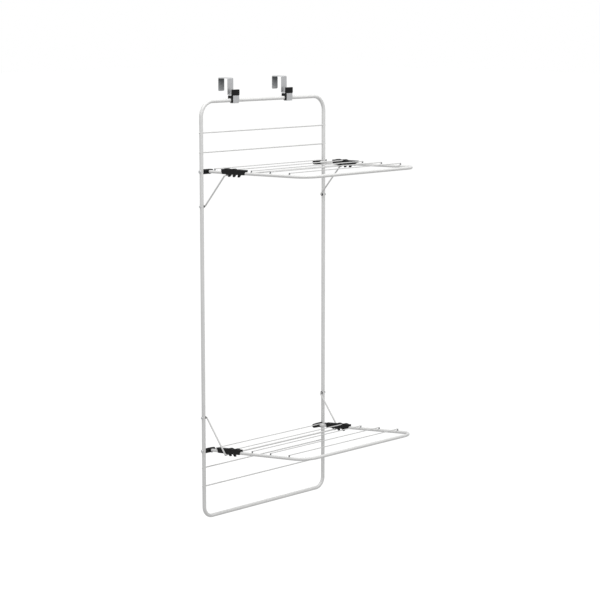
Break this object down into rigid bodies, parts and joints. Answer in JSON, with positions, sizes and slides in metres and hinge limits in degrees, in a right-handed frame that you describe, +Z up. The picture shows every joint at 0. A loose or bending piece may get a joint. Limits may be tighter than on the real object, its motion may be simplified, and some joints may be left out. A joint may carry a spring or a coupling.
{
  "type": "over-door folding drying rack",
  "caption": "Tall tube frame hung over a door on two strap hooks, with an upper and a lower wire rack that fold flat and wire bails that hold them level.",
  "frame": {"origin": "middle of the door's top edge: midway across the frame, midway through the gap inside the hooks, level with the underside of the straps", "axes": "+X across the door to the viewer's right, -Y out from the door's face towards the user, +Z up"},
  "size_m": [0.5694, 0.4985, 1.41],
  "materials": {
    "coated_tube": "light grey-white powder coat, satin",
    "coated_wire": "white plastic-dipped steel wire, satin",
    "zinc_steel": "bright zinc-plated strip and pins",
    "black_plastic": "black moulded polypropylene, fine matt texture"
  },
  "bodies": {
    "frame": {"frame_loop": "coated_tube", "cross_wire_1": "coated_wire", "cross_wire_2": "coated_wire", "cross_wire_3": "coated_wire", "cross_wire_4": "coated_wire", "hinge_pin_upper_left": "zinc_steel", "strut_bush_upper_left": "black_plastic", "hinge_pin_upper_right": "zinc_steel", "strut_bush_upper_right": "black_plastic", "hinge_pin_lower_left": "zinc_steel", "strut_bush_lower_left": "black_plastic", "hinge_pin_lower_right": "zinc_steel", "strut_bush_lower_right": "black_plastic"},
    "upper_rack": {"upper_rack_tube": "coated_tube", "upper_rack_wire_1": "coated_wire", "upper_rack_wire_2": "coated_wire", "upper_rack_wire_3": "coated_wire", "upper_rack_wire_4": "coated_wire", "upper_rack_wire_5": "coated_wire", "upper_hinge_barrel_left": "black_plastic", "upper_hinge_barrel_right": "black_plastic", "upper_notched_bracket_left": "black_plastic", "upper_notched_bracket_right": "black_plastic"},
    "upper_strut": {"upper_strut": "coated_wire", "upper_strut_cap_left": "zinc_steel", "upper_strut_cap_right": "zinc_steel"},
    "lower_rack": {"lower_rack_tube": "coated_tube", "lower_rack_wire_1": "coated_wire", "lower_rack_wire_2": "coated_wire", "lower_rack_wire_3": "coated_wire", "lower_rack_wire_4": "coated_wire", "lower_rack_wire_5": "coated_wire", "lower_hinge_barrel_left": "black_plastic", "lower_hinge_barrel_right": "black_plastic", "lower_notched_bracket_left": "black_plastic", "lower_notched_bracket_right": "black_plastic"},
    "lower_strut": {"lower_strut": "coated_wire", "lower_strut_cap_left": "zinc_steel", "lower_strut_cap_right": "zinc_steel"},
    "left_hook": {"door_hook_left": "zinc_steel", "hook_clip_left": "black_plastic"},
    "right_hook": {"door_hook_right": "zinc_steel", "hook_clip_right": "black_plastic"}
  },
  "joints": [
    {"name": "upper_rack_fold", "type": "hinge", "parent": "frame", "child": "upper_rack", "pos_m": [0, -0.03475, -0.287], "axis": [1, 0, 0], "range_deg": [0, 89]},
    {"name": "lower_rack_fold", "type": "hinge", "parent": "frame", "child": "lower_rack", "pos_m": [0, -0.03475, -1.184], "axis": [-1, 0, 0], "range_deg": [0, 84]},
    {"name": "upper_strut_swing", "type": "hinge", "parent": "frame", "child": "upper_strut", "pos_m": [0, -0.03475, -0.3965], "axis": [1, 0, 0], "range_deg": [0, 138.5]},
    {"name": "lower_strut_swing", "type": "hinge", "parent": "frame", "child": "lower_strut", "pos_m": [0, -0.03475, -1.0745], "axis": [1, 0, 0], "range_deg": [0, 33]},
    {"name": "left_hook_slide", "type": "slide", "parent": "frame", "child": "left_hook", "axis": [1, 0, 0], "range_m": [-0.06, 0.1]},
    {"name": "right_hook_slide", "type": "slide", "parent": "frame", "child": "right_hook", "axis": [1, 0, 0], "range_m": [-0.1, 0.09]}
  ],
  "couplings": [
    {"joint": "upper_strut_swing", "follows": "upper_rack_fold", "ratio": 1.55},
    {"joint": "lower_strut_swing", "follows": "lower_rack_fold", "ratio": 0.388}
  ]
}
